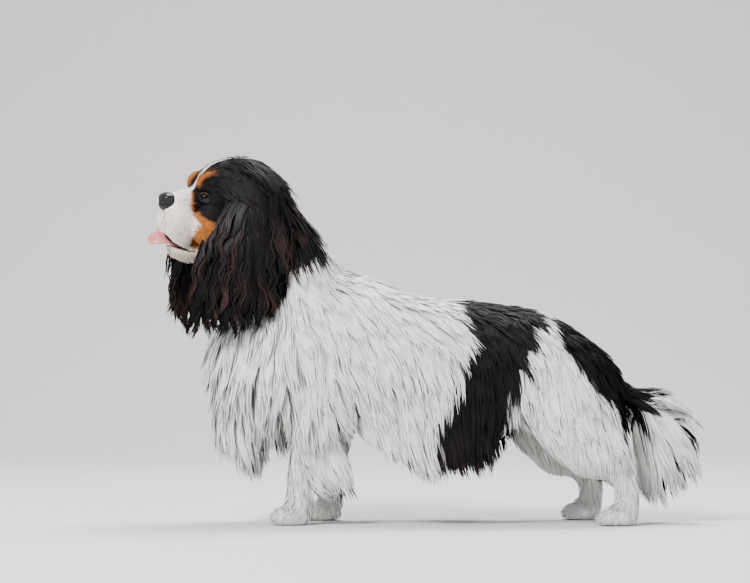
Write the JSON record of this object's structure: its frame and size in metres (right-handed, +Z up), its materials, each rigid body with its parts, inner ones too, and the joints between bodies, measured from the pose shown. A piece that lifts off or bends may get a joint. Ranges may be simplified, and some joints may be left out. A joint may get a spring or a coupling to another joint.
{
  "type": "cavalier king charles spaniel, still life-size model",
  "caption": "Standing long-coated spaniel with feathered ears, legs and tail plume, head turned a little, mouth open; a still life-size model.",
  "frame": {"origin": "middle of the model's box at the height of the soles, on the floor", "axes": "+X towards the tail, the nose towards -X; -Y is the dog's left side; +Z up"},
  "size_m": [0.661, 0.1734, 0.4394],
  "materials": {
    "coat_body": "long white coat with black patches",
    "coat_head": "short fur, black with tan points and a white muzzle",
    "coat_ears": "long wavy black hair with a brown sheen",
    "coat_legs": "white coat with long feathering",
    "coat_tail": "long white plume, black at the root",
    "nose": "slate-black, pebbled, slightly moist",
    "tongue": "pink, moist",
    "eyes": "very dark brown, wet gloss"
  },
  "bodies": {
    "root": {"torso": "coat_body", "chest": "coat_body", "neck": "coat_body", "head": "coat_head", "lower_jaw": "coat_head", "nose": "nose", "tongue": "tongue", "eye_left": "eyes", "eye_right": "eyes", "ear_left": "coat_ears", "ear_right": "coat_ears", "foreleg_left": "coat_legs", "foreleg_right": "coat_legs", "hindleg_left": "coat_legs", "hindleg_right": "coat_legs", "tail": "coat_tail"}
  },
  "joints": []
}
